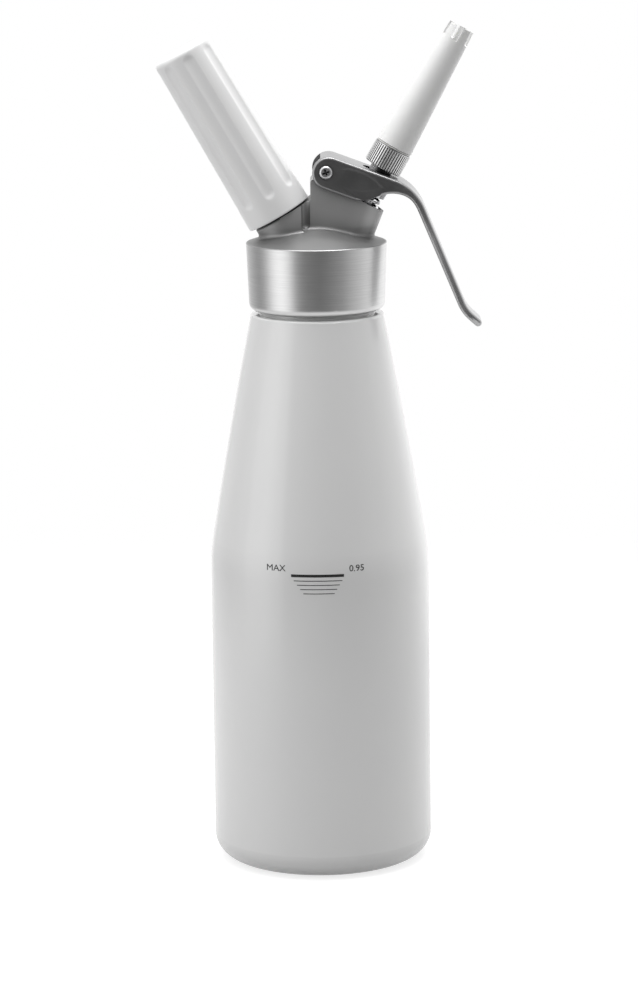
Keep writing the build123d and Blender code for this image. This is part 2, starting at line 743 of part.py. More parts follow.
parts = {
    "bottle": bottle(),
    "head_gasket": head_gasket(),
    "head_body": head_body(),
    "stem_guide": stem_guide(),
    "stem_o_ring": stem_o_ring(),
    "charger_holder": charger_holder(),
    "holder_gasket": holder_gasket(),
    "gas_charger": gas_charger(),
    "inlet_seal": inlet_seal(),
    "inlet_valve": inlet_valve(),
    "inlet_check_sleeve": inlet_check_sleeve(),
    "valve_stem": valve_stem(),
    "valve_seal": valve_seal(),
    "seal_retainer": seal_retainer(),
    "spring_cup": spring_cup(),
    "valve_spring": valve_spring(),
    "nozzle_adapter": nozzle_adapter(),
    "tip_seal": tip_seal(),
    "decorating_tip": decorating_tip(),
    "lever": lever(),
    "pivot_pin": pivot_pin(),
    "front_pivot_screw": pivot_screw(-1),
    "rear_pivot_screw": pivot_screw(1),
}

os.makedirs("parts", exist_ok=True)
for name, shape in parts.items():
    export_step(shape, f"parts/{name}.step")
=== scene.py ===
"""Looks of the whipped cream dispenser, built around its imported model. Lengths are in metres."""
import json
from math import cos, pi, radians, sin, sqrt

import bmesh
import bpy
from mathutils import Matrix, Vector


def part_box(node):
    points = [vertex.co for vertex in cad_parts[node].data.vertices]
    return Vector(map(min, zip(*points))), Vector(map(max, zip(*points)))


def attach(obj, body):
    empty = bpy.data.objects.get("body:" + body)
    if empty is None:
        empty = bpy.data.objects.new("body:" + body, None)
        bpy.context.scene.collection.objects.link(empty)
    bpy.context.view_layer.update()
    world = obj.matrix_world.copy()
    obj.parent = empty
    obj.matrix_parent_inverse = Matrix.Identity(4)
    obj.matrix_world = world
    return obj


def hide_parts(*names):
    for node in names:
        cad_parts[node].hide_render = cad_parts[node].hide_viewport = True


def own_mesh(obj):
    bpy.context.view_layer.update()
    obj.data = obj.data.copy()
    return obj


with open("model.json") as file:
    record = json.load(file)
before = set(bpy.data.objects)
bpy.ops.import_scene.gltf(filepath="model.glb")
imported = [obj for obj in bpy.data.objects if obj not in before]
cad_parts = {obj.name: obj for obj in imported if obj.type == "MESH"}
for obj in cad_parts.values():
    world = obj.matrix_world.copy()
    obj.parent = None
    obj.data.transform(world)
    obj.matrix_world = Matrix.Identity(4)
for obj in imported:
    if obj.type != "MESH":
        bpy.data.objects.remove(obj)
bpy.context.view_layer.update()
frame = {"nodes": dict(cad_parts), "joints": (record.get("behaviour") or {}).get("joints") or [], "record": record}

MM = 0.001

# ---- camera ----
IMAGE_HEIGHT = 1000
CAMERA_PLACE = Vector((-0.0002, -1.7069, 0.4995))
CAMERA_PITCH = radians(11.165)       # below the horizon
CAMERA_ROLL = radians(0.69)
FOCAL_PIXELS = 3888.0
SENSOR = 36.0                        # on the picture's long side

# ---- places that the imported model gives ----
JOINTS = {joint["name"]: joint for joint in frame["joints"]}
HOLDER_CROSS = Vector(JOINTS["holder_turn"]["pos_m"])
HOLDER_AXIS = Vector(JOINTS["holder_turn"]["axis"])
VALVE_CROSS = Vector(JOINTS["tip_turn"]["pos_m"])
VALVE_AXIS = Vector(JOINTS["tip_turn"]["axis"])
PIVOT = Vector(JOINTS["lever_press"]["pos_m"])
SLOT_OF = {part["node"]: part["material_slot"] for part in frame["record"]["subparts"]}

RIGHT, SIDE, UP = Vector((1, 0, 0)), Vector((0, 1, 0)), Vector((0, 0, 1))

# ---- bottle ----
BOTTLE_RADIUS = 49.0 * MM
STRAIGHT_TOP = 135.6 * MM
SHOULDER_RADIUS = 67.0 * MM
NECK_RADIUS, LEDGE, NECK_TOP = 25.6 * MM, 247.56 * MM, 269.56 * MM

# ---- head: heights between which its metal, and its painted shade, change ----
COLLAR_TOP = 279.06 * MM
COLLAR_EDGE = (COLLAR_TOP - 0.6 * MM, COLLAR_TOP - 0.2 * MM)     # brushed, then a rim painted darker as painted shade
CAST_EDGE = (COLLAR_TOP - 0.25 * MM, COLLAR_TOP + 0.25 * MM)     # brushed, then cast
CONE_EDGE = (COLLAR_TOP + 4.5 * MM, COLLAR_TOP + 8.5 * MM)       # cone painted darker as painted shade at the tower's foot, then the brighter tower

# ---- lever: its cheeks are painted darker than its grip, as painted shade, and have a shallow leaf-shaped hollow ----
GRIP_EDGE = (36.0 * MM, 52.0 * MM)               # along X
LEAF_HALF_LENGTH, LEAF_HALF_WIDTH, LEAF_MIDDLE = 14.5 * MM, 5.2 * MM, 12.5 * MM
LEAF_ANGLE, LEAF_DEPTH, LEAF_SLOPE = radians(16), 0.16 * MM, 1.8 * MM
LEAF_EDGE = (4.0 * MM, 11.0 * MM)                # distances from the pivot where the leaf begins

# ---- charger holder, heights along its axis from the crossing point ----
HOLDER_BASE, HOLDER_TOP = 32.7 * MM, 116.6 * MM
HOLDER_RADII = (14.9 * MM, 13.8 * MM)
HOLDER_TOP_ROUND, HOLDER_BASE_ROUND = 2.4 * MM, 0.4 * MM
HOLDER_MOUTH, HOLDER_MOUTH_TOP = 10.35 * MM, 48.4 * MM
HOLDER_BORE, HOLDER_DOME = 9.3 * MM, 101.25 * MM
HOLDER_STEPS, HOLDER_SEGMENTS = 120, 320         # rings up its side, and points in each
HOLDER_BASE_STEPS, HOLDER_ARC_STEPS = 4, 12
FLUTE_COUNT, FLUTE_START = 8, radians(-83.5)
FLUTE_WIDTH, FLUTE_DEPTH = 5.2 * MM, 0.75 * MM
FLUTE_LOW, FLUTE_HIGH = 44.3 * MM, 111.0 * MM
FLUTE_SOFTNESS = 0.13 * MM           # how far the flutes' edges are rounded over
STUB_RADIUS, STUB_BASE, STUB_TOP = 10.0 * MM, 31.9 * MM, 47.2 * MM

# ---- outlet valve, heights along its axis from the crossing point ----
KNURL_BASE, KNURL_TOP, KNURL_COUNT = 58.8 * MM, 68.2 * MM, 45
POST_RADIUS, POST_BASE, POST_TOP = 5.4 * MM, 68.6 * MM, 79.6 * MM

# ---- pivot screws, heights above the cheek ----
SCREW_RADIUS, SCREW_HEAD, SCREW_CROWN, SCREW_RIM = 2.95 * MM, 1.9 * MM, 1.2 * MM, 0.1 * MM
SCREW_SHAFT, SCREW_DEPTH, SCREW_TIP, SCREW_TIP_RISE = 1.5 * MM, 7.0 * MM, 1.2 * MM, 0.3 * MM
SCREW_SEGMENTS, SCREW_ARC_STEPS = 48, 8
CROSS_TOP, CROSS_FLOOR = (1.75 * MM, 0.40 * MM), (0.80 * MM, 0.26 * MM)      # half sizes of a slot
CROSS_DEPTH, CROSS_ANGLE = 1.15 * MM, radians(20)

# ---- threads ----
THREAD_ROOT = 0.05 * MM              # how far a ridge reaches into the metal
THREAD_SEGMENTS, THREAD_FADE = 48, 16            # steps in a turn, and steps in which an end fades

# ---- fill mark, printed on the bottle's front ----
PRINT_HEIGHT = 0.03 * MM             # how far the print stands out of the lacquer
PRINT_DEPTH = 0.05 * MM              # and how far it reaches into it
PRINT_STEP = 1.0 * MM
MARK_LEFT, MARK_RIGHT = -12.8 * MM, 10.3 * MM
MARK_Z, MARK_THICKNESS = 138.4 * MM, 1.2 * MM
STEP_COUNT, STEP_THICKNESS = 4, 0.32 * MM
STEP_Z, STEP_PITCH = 136.15 * MM, 1.9 * MM
STEP_LEFT, STEP_RIGHT = -11.6 * MM, 9.6 * MM
STEP_INSET = (1.35 * MM, 1.15 * MM)
WORD_SIZE, WORD_RESOLUTION = 3.9 * MM, 6
WORDS = {"print_max": ("MAX", -23.6 * MM, 140.2 * MM),
         "print_litres": ("0.95", 12.6 * MM, 140.0 * MM)}

# ---- stage ----
FLOOR_RADIUS, FLOOR_SEGMENTS = 0.75, 96
FLOOR_FADE = 0.30                    # the floor melts into the backdrop from here outwards
FLOOR_TONE, FLOOR_ROUGHNESS = 0.35, 0.6
FLOOR_GLOW, FLOOR_GLOSS = 0.75, 0.46             # light that the camera, and reflections, see in it
HORIZON_LIGHT = [                    # azimuth in degrees, 0 towards the camera, + to +X; radiance
    (-180, 1.15), (-166, 1.12), (-146, 0.69), (-108, 0.30), (-92, 0.50), (-80, 1.20), (-62, 1.62),
    (-46, 1.15), (-36, 0.23), (-16, 0.14), (6, 0.10), (40, 0.27), (66, 0.60), (100, 1.00),
    (140, 1.35), (160, 1.25), (180, 1.15)]
UPPER_LIGHT = [
    (-180, 0.95), (-140, 1.00), (-105, 1.30), (-60, 1.50), (-20, 0.50), (30, 0.32), (80, 0.85),
    (120, 1.05), (150, 0.95), (180, 0.95)]
ZENITH_LIGHT = 0.9
UPPER_START, UPPER_FULL = 0.25, 0.50             # sines of the elevations where each band begins
ZENITH_START, ZENITH_FULL = 0.78, 0.95
SOFT_BOXES = {                       # place, target, side of its square, radiance
    "top_light": ((-0.10, -0.15, 1.6), (0, 0, 0.25), 1.0, 3.1),
    "right_light": ((0.50, 0.05, 1.85), (0, 0, 0.3), 0.7, 4.0)}


# ---- material nodes ----
NOISE_LOW, NOISE_HIGH = 0.3, 0.7     # nearly all of a noise's values lie between these
MIX_SOCKETS = {"FLOAT": (2, 3, 0), "VECTOR": (4, 5, 1), "RGBA": (6, 7, 2)}       # two in, one out
AO_SAMPLES = 8


def new_material(name):
    """Empty node material with its Principled shader."""
    material = bpy.data.materials.new(name)
    material.use_nodes = True
    nodes = material.node_tree.nodes
    nodes.clear()
    shader = nodes.new("ShaderNodeBsdfPrincipled")
    output = nodes.new("ShaderNodeOutputMaterial")
    material.node_tree.links.new(shader.outputs[0], output.inputs["Surface"])
    return material, shader


def add(material, kind, links=(), **settings):
    """Add a node, link its inputs and set its properties and socket values."""
    tree = material.node_tree
    node = tree.nodes.new("ShaderNode" + kind)
    for name, value in settings.items():
        if hasattr(node, name) and name not in node.inputs:
            setattr(node, name, value)
        else:
            node.inputs[name].default_value = value
    for socket, source in links:
        tree.links.new(source, node.inputs[socket])
    return node


def place(material, scale=(1, 1, 1)):
    """Position on the object, scaled separately on each axis."""
    where = add(material, "TexCoord")
    return add(material, "Mapping", [("Vector", where.outputs["Object"])], Scale=scale).outputs[0]


def coordinate(material, axis):
    """Position on the object along one axis: 0 for X, 1 for Y and 2 for Z."""
    return add(material, "SeparateXYZ", [("Vector", place(material))]).outputs[axis]


def noise(material, scale, detail=2.0, stretch=(1, 1, 1)):
    """Noise whose size on the object is 1 / scale metres."""
    vector = place(material, stretch)
    return add(material, "TexNoise", [("Vector", vector)], Scale=scale, Detail=detail).outputs["Fac"]


def between(material, value, low, high, ends=(0.0, 1.0), curve="LINEAR"):
    """Go from one end to the other as a value goes from low to high, and stay there."""
    node = add(material, "MapRange", [("Value", value)], interpolation_type=curve)
    for name, number in zip(("From Min", "From Max", "To Min", "To Max"), (low, high, *ends)):
        node.inputs[name].default_value = number
    return node.outputs[0]


def spread(material, factor, low, high):
    """Map a noise to a range of values."""
    return between(material, factor, NOISE_LOW, NOISE_HIGH, (low, high))


def tint(material, factor, low, high):
    """Colour between two grey levels or two colours by a noise."""
    ramp = add(material, "ValToRGB", [("Fac", factor)])
    stops = zip(ramp.color_ramp.elements, (NOISE_LOW, NOISE_HIGH), (low, high))
    for stop, position, tone in stops:
        stop.position = position
        stop.color = (*tone, 1) if isinstance(tone, tuple) else (tone, tone, tone, 1)
    return ramp.outputs[0]


def bump(material, height, distance, under=None):
    """Bump of a real height in metres, on top of another bump if there is one."""
    node = add(material, "Bump", [("Height", height)], Strength=1.0, Distance=distance)
    if under is not None:
        material.node_tree.links.new(under, node.inputs["Normal"])
    return node.outputs[0]


def math(material, operation, first, second):
    """Math node on other nodes' outputs or plain numbers."""
    node = add(material, "Math", operation=operation)
    for socket, value in zip(node.inputs, (first, second)):
        if isinstance(value, bpy.types.NodeSocket):
            material.node_tree.links.new(value, socket)
        else:
            socket.default_value = value
    return node.outputs[0]


def vector_math(material, operation, vector, fixed):
    """Vector math node on another node's output and a fixed vector."""
    node = add(material, "VectorMath", [(0, vector)], operation=operation)
    node.inputs[1].default_value = fixed
    return node.outputs["Value" if operation in ("DISTANCE", "DOT_PRODUCT") else "Vector"]


def mixed(material, factor, first, second, kind="RGBA"):
    """Colour, vector or number between two outputs by a factor."""
    a, b, out = MIX_SOCKETS[kind]
    return add(material, "Mix", [(0, factor), (a, first), (b, second)], data_type=kind).outputs[out]


def open_share(material, reach, low, high):
    """0 in a crease or hollow and 1 on an open surface."""
    hidden = add(material, "AmbientOcclusion", samples=AO_SAMPLES, Distance=reach)
    return between(material, hidden.outputs["AO"], low, high)


def painted_hollow_shade(material, cloud, reach, low, high, tone):
    """A tone with painted shade that turns it nearly black down in a hollow."""
    return mixed(material, open_share(material, reach, low, high), tint(material, cloud, 0.02, 0.03), tone)


def finish_shader(material, shader, **sockets):
    """Set a shader's sockets, from values or from other nodes' outputs."""
    for name, value in sockets.items():
        socket = shader.inputs[name.replace("_", " ")]
        if isinstance(value, bpy.types.NodeSocket):
            material.node_tree.links.new(value, socket)
        else:
            socket.default_value = value
    return material


# ---- materials ----
def bottle_lacquer():
    """White lacquer, glossy over a soft sheen, with a faint orange peel."""
    material, shader = new_material("bottle_lacquer")
    tone = tint(material, noise(material, scale=18), (0.780, 0.780, 0.780), (0.800, 0.800, 0.797))
    rough = spread(material, noise(material, scale=60, detail=4), 0.29, 0.37)
    peel = bump(material, noise(material, scale=260), 0.012 * MM)
    return finish_shader(material, shader, Base_Color=tone, Roughness=rough, Normal=peel,
                         Coat_Weight=1.0, Coat_Roughness=0.04)


def holder_lacquer():
    """Satin white lacquer."""
    material, shader = new_material("holder_lacquer")
    tone = tint(material, noise(material, scale=40), 0.885, 0.910)
    rough = spread(material, noise(material, scale=200, detail=3), 0.34, 0.42)
    grain = bump(material, noise(material, scale=5000), 0.004 * MM)
    return finish_shader(material, shader, Base_Color=tone, Roughness=rough, Normal=grain,
                         Coat_Weight=0.35, Coat_Roughness=0.22)


def head_metal():
    """Brushed round the collar, bead blasted on the cast top, with painted shade on the collar's top rim, on the
    cone at the tower's foot and in the cast top's creases.
    """
    material, shader = new_material("head_metal")
    lines = noise(material, scale=1, detail=3, stretch=(60, 60, 5200))
    fine = noise(material, scale=1, stretch=(160, 160, 16000))
    grit = noise(material, scale=3200)
    cloud = noise(material, scale=45, detail=3)
    height = coordinate(material, 2)
    on_rim = between(material, height, *COLLAR_EDGE, curve="SMOOTHSTEP")
    on_cast = between(material, height, *CAST_EDGE)
    on_tower = between(material, height, *CONE_EDGE, curve="SMOOTHSTEP")

    # painted shade: the collar's top rim is painted darker, which dims the edge's highlight
    collar = mixed(material, on_rim, tint(material, lines, 0.61, 0.71), tint(material, lines, 0.34, 0.40))
    # painted shade: the cone at the tower's foot is painted darker than the tower
    cast = mixed(material, on_tower, tint(material, cloud, 0.30, 0.35), tint(material, cloud, 0.53, 0.59))
    # painted shade: the cast top turns darker in its creases, which the ambient occlusion finds
    clear = math(material, "MAXIMUM", open_share(material, 9 * MM, 0.50, 1.00),
                 math(material, "SUBTRACT", 1, on_tower))
    cast = mixed(material, clear, tint(material, cloud, 0.24, 0.28), cast)
    collar_rough = spread(material, fine, 0.28, 0.38)
    cast_rough = math(material, "ADD", spread(material, cloud, 0.48, 0.56),
                      math(material, "MULTIPLY", on_tower, 0.06))
    brushed = bump(material, fine, 0.002 * MM, under=bump(material, lines, 0.006 * MM))
    blasted = bump(material, grit, 0.012 * MM)
    return finish_shader(material, shader, Metallic=1.0,
                         Base_Color=mixed(material, on_cast, collar, cast),
                         Roughness=mixed(material, on_cast, collar_rough, cast_rough, "FLOAT"),
                         Normal=mixed(material, on_cast, brushed, blasted, "VECTOR"))


def cheek_leaf(material):
    """Height, -1 to 0, of the leaf in the lever's cheeks: where two large circles overlap."""
    flat = place(material, (1, 0, 1))
    hub = Vector((PIVOT[0], 0, PIVOT[2]))
    radius = (LEAF_HALF_LENGTH ** 2 + LEAF_HALF_WIDTH ** 2) / (2 * LEAF_HALF_WIDTH)
    direction = Vector((cos(LEAF_ANGLE), 0, -sin(LEAF_ANGLE)))
    across = Vector((direction.z, 0, -direction.x))
    middle = hub + direction * LEAF_MIDDLE
    depths = []
    for side in (-1, 1):
        centre = middle + across * side * (radius - LEAF_HALF_WIDTH)
        away = vector_math(material, "DISTANCE", flat, centre)
        depths.append(math(material, "SUBTRACT", radius, away))
    inside = between(material, math(material, "MINIMUM", *depths), 0, LEAF_SLOPE, (0, -1), "SMOOTHSTEP")
    from_hub = vector_math(material, "DISTANCE", flat, hub)
    return math(material, "MULTIPLY", inside, between(material, from_hub, *LEAF_EDGE, curve="SMOOTHSTEP"))


def lever_metal():
    """Cast and satin, with its cheeks painted darker than its grip as painted shade."""
    material, shader = new_material("lever_metal")
    cloud = noise(material, scale=90, detail=3)
    grit = noise(material, scale=2600)
    soft = noise(material, scale=160)
    on_grip = between(material, coordinate(material, 0), *GRIP_EDGE, curve="SMOOTHSTEP")
    # painted shade: the cheeks are painted darker than the grip
    tone = mixed(material, on_grip, tint(material, cloud, (0.305, 0.305, 0.308), (0.335, 0.335, 0.338)),
                 tint(material, cloud, (0.46, 0.46, 0.463), (0.50, 0.50, 0.503)))
    rough = spread(material, cloud, 0.28, 0.36)
    skin = bump(material, cheek_leaf(material), LEAF_DEPTH, under=bump(material, soft, 0.02 * MM))
    skin = bump(material, grit, 0.001 * MM, under=skin)
    return finish_shader(material, shader, Base_Color=tone, Metallic=1.0, Roughness=rough, Normal=skin)


def metal(name, low, high, rough):
    """Plain metal with cloudy tone, uneven gloss and a fine grain."""
    material, shader = new_material(name)
    cloud = noise(material, scale=220, detail=3)
    grain = bump(material, noise(material, scale=1800), 0.002 * MM)
    return finish_shader(material, shader, Base_Color=tint(material, cloud, low, high), Metallic=1.0,
                         Roughness=spread(material, cloud, *rough), Normal=grain)


def knurled_metal():
    """Polished metal; its knurl is painted on, with painted shade in the grooves and painted highlights on the
    crests.
    """
    material, shader = new_material("adapter_metal")
    from_cross = vector_math(material, "SUBTRACT", place(material), VALVE_CROSS)

    def along(direction):
        return vector_math(material, "DOT_PRODUCT", from_cross, direction)

    height = along(VALVE_AXIS)
    angle = math(material, "ARCTAN2", along(SIDE), along(SIDE.cross(VALVE_AXIS)))
    turns = math(material, "MULTIPLY", angle, KNURL_COUNT / (2 * pi))
    groove = math(material, "MULTIPLY", math(material, "PINGPONG", turns, 0.5), 2)
    knurled = math(material, "MULTIPLY", math(material, "GREATER_THAN", height, KNURL_BASE),
                   math(material, "LESS_THAN", height, KNURL_TOP))
    cloud = noise(material, scale=220, detail=3)
    polished = tint(material, cloud, (0.66, 0.66, 0.67), (0.74, 0.74, 0.75))
    # painted shade: the plain metal turns nearly black in its hollows, under the knurled ring
    plain = painted_hollow_shade(material, cloud, 4 * MM, 0.45, 0.85, polished)
    # painted knurl: painted highlights on the crests, painted shade in the grooves
    tone = mixed(material, knurled, plain, tint(material, groove, 0.95, 0.17))
    rough = math(material, "ADD", spread(material, cloud, 0.28, 0.34),
                 math(material, "MULTIPLY", knurled, 0.12))
    grain = bump(material, noise(material, scale=1800), 0.002 * MM)
    return finish_shader(material, shader, Base_Color=tone, Metallic=1.0, Roughness=rough, Normal=grain)


def screw_steel():
    """Bright screw metal, with painted shade down in the recess."""
    material, shader = new_material("screw_steel")
    cloud = noise(material, scale=220, detail=3)
    bright = tint(material, cloud, (0.60, 0.60, 0.61), (0.68, 0.68, 0.69))
    # painted shade: the steel turns nearly black down in the cross recess
    tone = painted_hollow_shade(material, cloud, 1.3 * MM, 0.45, 0.8, bright)
    rough = spread(material, cloud, 0.28, 0.36)
    grain = bump(material, noise(material, scale=1800), 0.002 * MM)
    return finish_shader(material, shader, Base_Color=tone, Metallic=1.0, Roughness=rough, Normal=grain)


def black_rubber():
    """Matt black rubber."""
    material, shader = new_material("black_rubber")
    tone = tint(material, noise(material, scale=300), 0.018, 0.03)
    rough = spread(material, noise(material, scale=500), 0.5, 0.65)
    grain = bump(material, noise(material, scale=2500), 0.01 * MM)
    return finish_shader(material, shader, Base_Color=tone, Roughness=rough, Normal=grain)


def white_plastic():
    """Moulded white plastic of the small inner pieces."""
    material, shader = new_material("white_plastic")
    tone = tint(material, noise(material, scale=200), (0.74, 0.74, 0.72), (0.78, 0.78, 0.76))
    rough = spread(material, noise(material, scale=300), 0.42, 0.5)
    grain = bump(material, noise(material, scale=2500), 0.004 * MM)
    return finish_shader(material, shader, Base_Color=tone, Roughness=rough, Normal=grain)


def tip_plastic():
    """Moulded plastic that lets a little light in."""
    material, shader = new_material("tip_plastic")
    tone = tint(material, noise(material, scale=90), (0.81, 0.81, 0.805), (0.84, 0.84, 0.835))
    rough = spread(material, noise(material, scale=250), 0.36, 0.44)
    grain = bump(material, noise(material, scale=1500), 0.005 * MM)
    return finish_shader(material, shader, Base_Color=tone, Roughness=rough, Normal=grain,
                         Subsurface_Weight=0.15, Subsurface_Scale=1.0 * MM,
                         Subsurface_Radius=(1.0, 1.0, 0.95))


def print_ink():
    """Black ink of the fill mark."""
    material, shader = new_material("print_ink")
    tone = tint(material, noise(material, scale=1500), 0.012, 0.022)
    rough = spread(material, noise(material, scale=900), 0.32, 0.4)
    grain = bump(material, noise(material, scale=4000), 0.004 * MM)
    return finish_shader(material, shader, Base_Color=tone, Roughness=rough, Normal=grain)


MATERIALS = {
    "bottle_lacquer": bottle_lacquer(),
    "holder_lacquer": holder_lacquer(),
    "head_metal": head_metal(),
    "lever_metal": lever_metal(),
    "black_rubber": black_rubber(),
    "white_plastic": white_plastic(),
    "tip_plastic": tip_plastic(),
    "charger_steel": metal("charger_steel", (0.60, 0.60, 0.61), (0.68, 0.68, 0.69), (0.28, 0.36)),
    "brass": metal("brass", (0.62, 0.44, 0.18), (0.70, 0.52, 0.24), (0.28, 0.36)),
    "polished_steel": metal("polished_steel", (0.68, 0.68, 0.69), (0.74, 0.74, 0.75), (0.1, 0.2)),
    "adapter_metal": knurled_metal(),
    "screw_steel": screw_steel(),
}
INK = print_ink()


def dress(piece, material):
    """Give a piece one material."""
    piece.data.materials.clear()
    piece.data.materials.append(material)


for node, cad_object in frame["nodes"].items():
    dress(cad_object, MATERIALS[SLOT_OF[node]])


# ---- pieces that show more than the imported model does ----
SHARP_EDGE, THREAD_SHARP_EDGE = radians(32), radians(50)
MERGE_DISTANCE = 1e-7


def add_object(name, data):
    """Put a new object into the scene."""
    thing = bpy.data.objects.new(name, data)
    bpy.context.scene.collection.objects.link(thing)
    return thing


def new_piece(name, mesh, material, body):
    """Add a mesh to the scene as a piece that rides on a body."""
    piece = add_object(name, mesh)
    dress(piece, material)
    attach(piece, body)
    return piece


def mesh_of(thing):
    """Mesh of an object as its modifiers or its text leave it."""
    bpy.context.view_layer.update()
    return bpy.data.meshes.new_from_object(thing.evaluated_get(bpy.context.evaluated_depsgraph_get()))


def finished_mesh(edit, name, sharp=SHARP_EDGE):
    """Mesh from a bmesh, smooth apart from edges that bend more than an angle."""
    bmesh.ops.remove_doubles(edit, verts=edit.verts, dist=MERGE_DISTANCE)
    bmesh.ops.recalc_face_normals(edit, faces=edit.faces)
    mesh = bpy.data.meshes.new(name)
    edit.to_mesh(mesh)
    edit.free()
    mesh.polygons.foreach_set("use_smooth", [True] * len(mesh.polygons))
    mesh.set_sharp_from_angle(angle=sharp)
    return mesh


def turned_mesh(name, outline, segments, origin, axis, across, dent=None):
    """Solid turned about an axis from (radius, height) points that start and end on the axis.

    The angle counts from the first to the second of the two directions across the axis.
    """
    edit = bmesh.new()
    rings = []
    for radius, height in outline:
        middle = origin + axis * height
        ring = []
        for i in range(segments if radius else 1):
            angle = 2 * pi * i / segments
            r = radius - (dent(angle, height, radius) if dent else 0)
            ring.append(edit.verts.new(middle + across[0] * r * cos(angle) + across[1] * r * sin(angle)))
        rings.append(ring)
    for a, b in zip(rings, rings[1:]):
        for i in range(segments):
            corners = [a[i % len(a)], a[(i + 1) % len(a)], b[(i + 1) % len(b)], b[i % len(b)]]
            unique = list(dict.fromkeys(corners))
            if len(unique) > 2:
                edit.faces.new(unique)
    return finished_mesh(edit, name)


def arc(centre, radius, start, end, steps):
    """Points (radius, height) on an arc, from one angle to another above the outward direction."""
    return [(centre[0] + radius * cos(start + (end - start) * i / steps),
             centre[1] + radius * sin(start + (end - start) * i / steps)) for i in range(steps + 1)]


def flute_dent(angle, height, radius):
    """Depth of the flutes at a place on the holder's side, with softened edges."""
    if radius < HOLDER_RADII[1] - HOLDER_TOP_ROUND:
        return 0
    pitch = 2 * pi / FLUTE_COUNT
    across = radius * ((angle - FLUTE_START + pitch / 2) % pitch - pitch / 2)
    beyond = max(FLUTE_LOW - height, 0, height - FLUTE_HIGH)
    cutter = (FLUTE_WIDTH ** 2 / 4 + FLUTE_DEPTH ** 2) / (2 * FLUTE_DEPTH)
    depth = FLUTE_DEPTH - cutter + sqrt(max(cutter ** 2 - across ** 2 - beyond ** 2, 0))
    return (depth + sqrt(depth ** 2 + FLUTE_SOFTNESS ** 2)) / 2


def make_holder():
    """The fluted holder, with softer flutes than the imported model's and the same outline."""
    lean = (HOLDER_RADII[0] - HOLDER_RADII[1]) / (HOLDER_TOP - HOLDER_BASE)
    base = arc((HOLDER_RADII[0] - HOLDER_BASE_ROUND, HOLDER_BASE + HOLDER_BASE_ROUND),
               HOLDER_BASE_ROUND, radians(-90), 0, HOLDER_BASE_STEPS)
    crown = arc((HOLDER_RADII[1] - HOLDER_TOP_ROUND, HOLDER_TOP - HOLDER_TOP_ROUND),
                HOLDER_TOP_ROUND, 0, radians(90), HOLDER_ARC_STEPS)
    low, high = base[-1][1], crown[0][1]
    heights = [low + (high - low) * i / HOLDER_STEPS for i in range(1, HOLDER_STEPS)]
    side = [(HOLDER_RADII[0] - lean * (height - HOLDER_BASE), height) for height in heights]
    dome = arc((0, HOLDER_DOME), HOLDER_BORE, radians(90), 0, HOLDER_ARC_STEPS)
    dome[0] = (0, dome[0][1])        # exactly on the axis
    inside = dome + [(HOLDER_BORE, HOLDER_MOUTH_TOP), (HOLDER_MOUTH, HOLDER_MOUTH_TOP),
                     (HOLDER_MOUTH, HOLDER_BASE)]
    outline = inside + base + side + crown + [(crown[-1][0] / 2, HOLDER_TOP), (0, HOLDER_TOP)]
    mesh = turned_mesh("holder_shell", outline, HOLDER_SEGMENTS, HOLDER_CROSS, HOLDER_AXIS,
                       (SIDE.cross(HOLDER_AXIS), SIDE), flute_dent)
    piece = new_piece("holder_shell", mesh, MATERIALS["holder_lacquer"], "holder")
    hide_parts("charger_holder")


def bar_cutter(name, origin, axis, turned):
    """Tapered bar that cuts one slot of a cross recess, standing above the screw's head."""
    first = Matrix.Rotation(turned, 3, axis) @ RIGHT
    second = axis.cross(first)
    levels = [(SCREW_HEAD - CROSS_DEPTH, CROSS_FLOOR), (SCREW_HEAD, CROSS_TOP),
              (SCREW_HEAD + CROSS_DEPTH, CROSS_TOP)]
    edit = bmesh.new()
    rings = [[edit.verts.new(origin + axis * height + first * x * half[0] + second * y * half[1])
              for x, y in ((-1, -1), (1, -1), (1, 1), (-1, 1))] for height, half in levels]
    edit.faces.new(rings[0])
    edit.faces.new(rings[-1])
    for a, b in zip(rings, rings[1:]):
        for i in range(4):
            edit.faces.new((a[i], a[(i + 1) % 4], b[(i + 1) % 4], b[i]))
    return add_object(name, finished_mesh(edit, name))


def make_screw(name, node, side):
    """Pan head screw with a cross recess, its head against the cheek on the side -1 or 1 of Y."""
    low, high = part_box(node)
    axis = Vector((0, side, 0))
    crown = high[1] if side > 0 else low[1]
    seat = Vector((PIVOT[0], crown - side * SCREW_HEAD, PIVOT[2]))
    shaft = [(0, -SCREW_DEPTH), (SCREW_TIP, -SCREW_DEPTH), (SCREW_SHAFT, -SCREW_DEPTH + SCREW_TIP_RISE),
             (SCREW_SHAFT, 0)]
    head = [(SCREW_RADIUS - SCREW_RIM, 0), (SCREW_RADIUS, SCREW_RIM)]
    head += arc((SCREW_RADIUS - SCREW_CROWN, SCREW_HEAD - SCREW_CROWN), SCREW_CROWN, 0, radians(90),
                SCREW_ARC_STEPS)
    outline = shaft + head + [(0, SCREW_HEAD)]
    blank = add_object(name + "_blank", turned_mesh(name + "_blank", outline, SCREW_SEGMENTS, seat, axis,
                                                    (RIGHT, axis.cross(RIGHT))))
    cutters = [bar_cutter(f"{name}_cutter_{i}", seat, axis, CROSS_ANGLE + i * pi / 2) for i in range(2)]
    for cutter in cutters:
        cut = blank.modifiers.new("recess", "BOOLEAN")
        cut.operation = "DIFFERENCE"
        cut.solver = "EXACT"
        cut.object = cutter
    mesh = mesh_of(blank)
    mesh.set_sharp_from_angle(angle=SHARP_EDGE)
    for spare in [blank] + cutters:
        bpy.data.objects.remove(spare)
    piece = new_piece(name, mesh, MATERIALS["screw_steel"], "lever")
    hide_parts(node)


def make_spring():
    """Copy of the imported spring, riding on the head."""
    packed = frame["nodes"]["valve_spring"]
    piece = new_piece("spring_coil", packed.data.copy(), MATERIALS["polished_steel"], "head")
    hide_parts("valve_spring")
    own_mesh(piece)


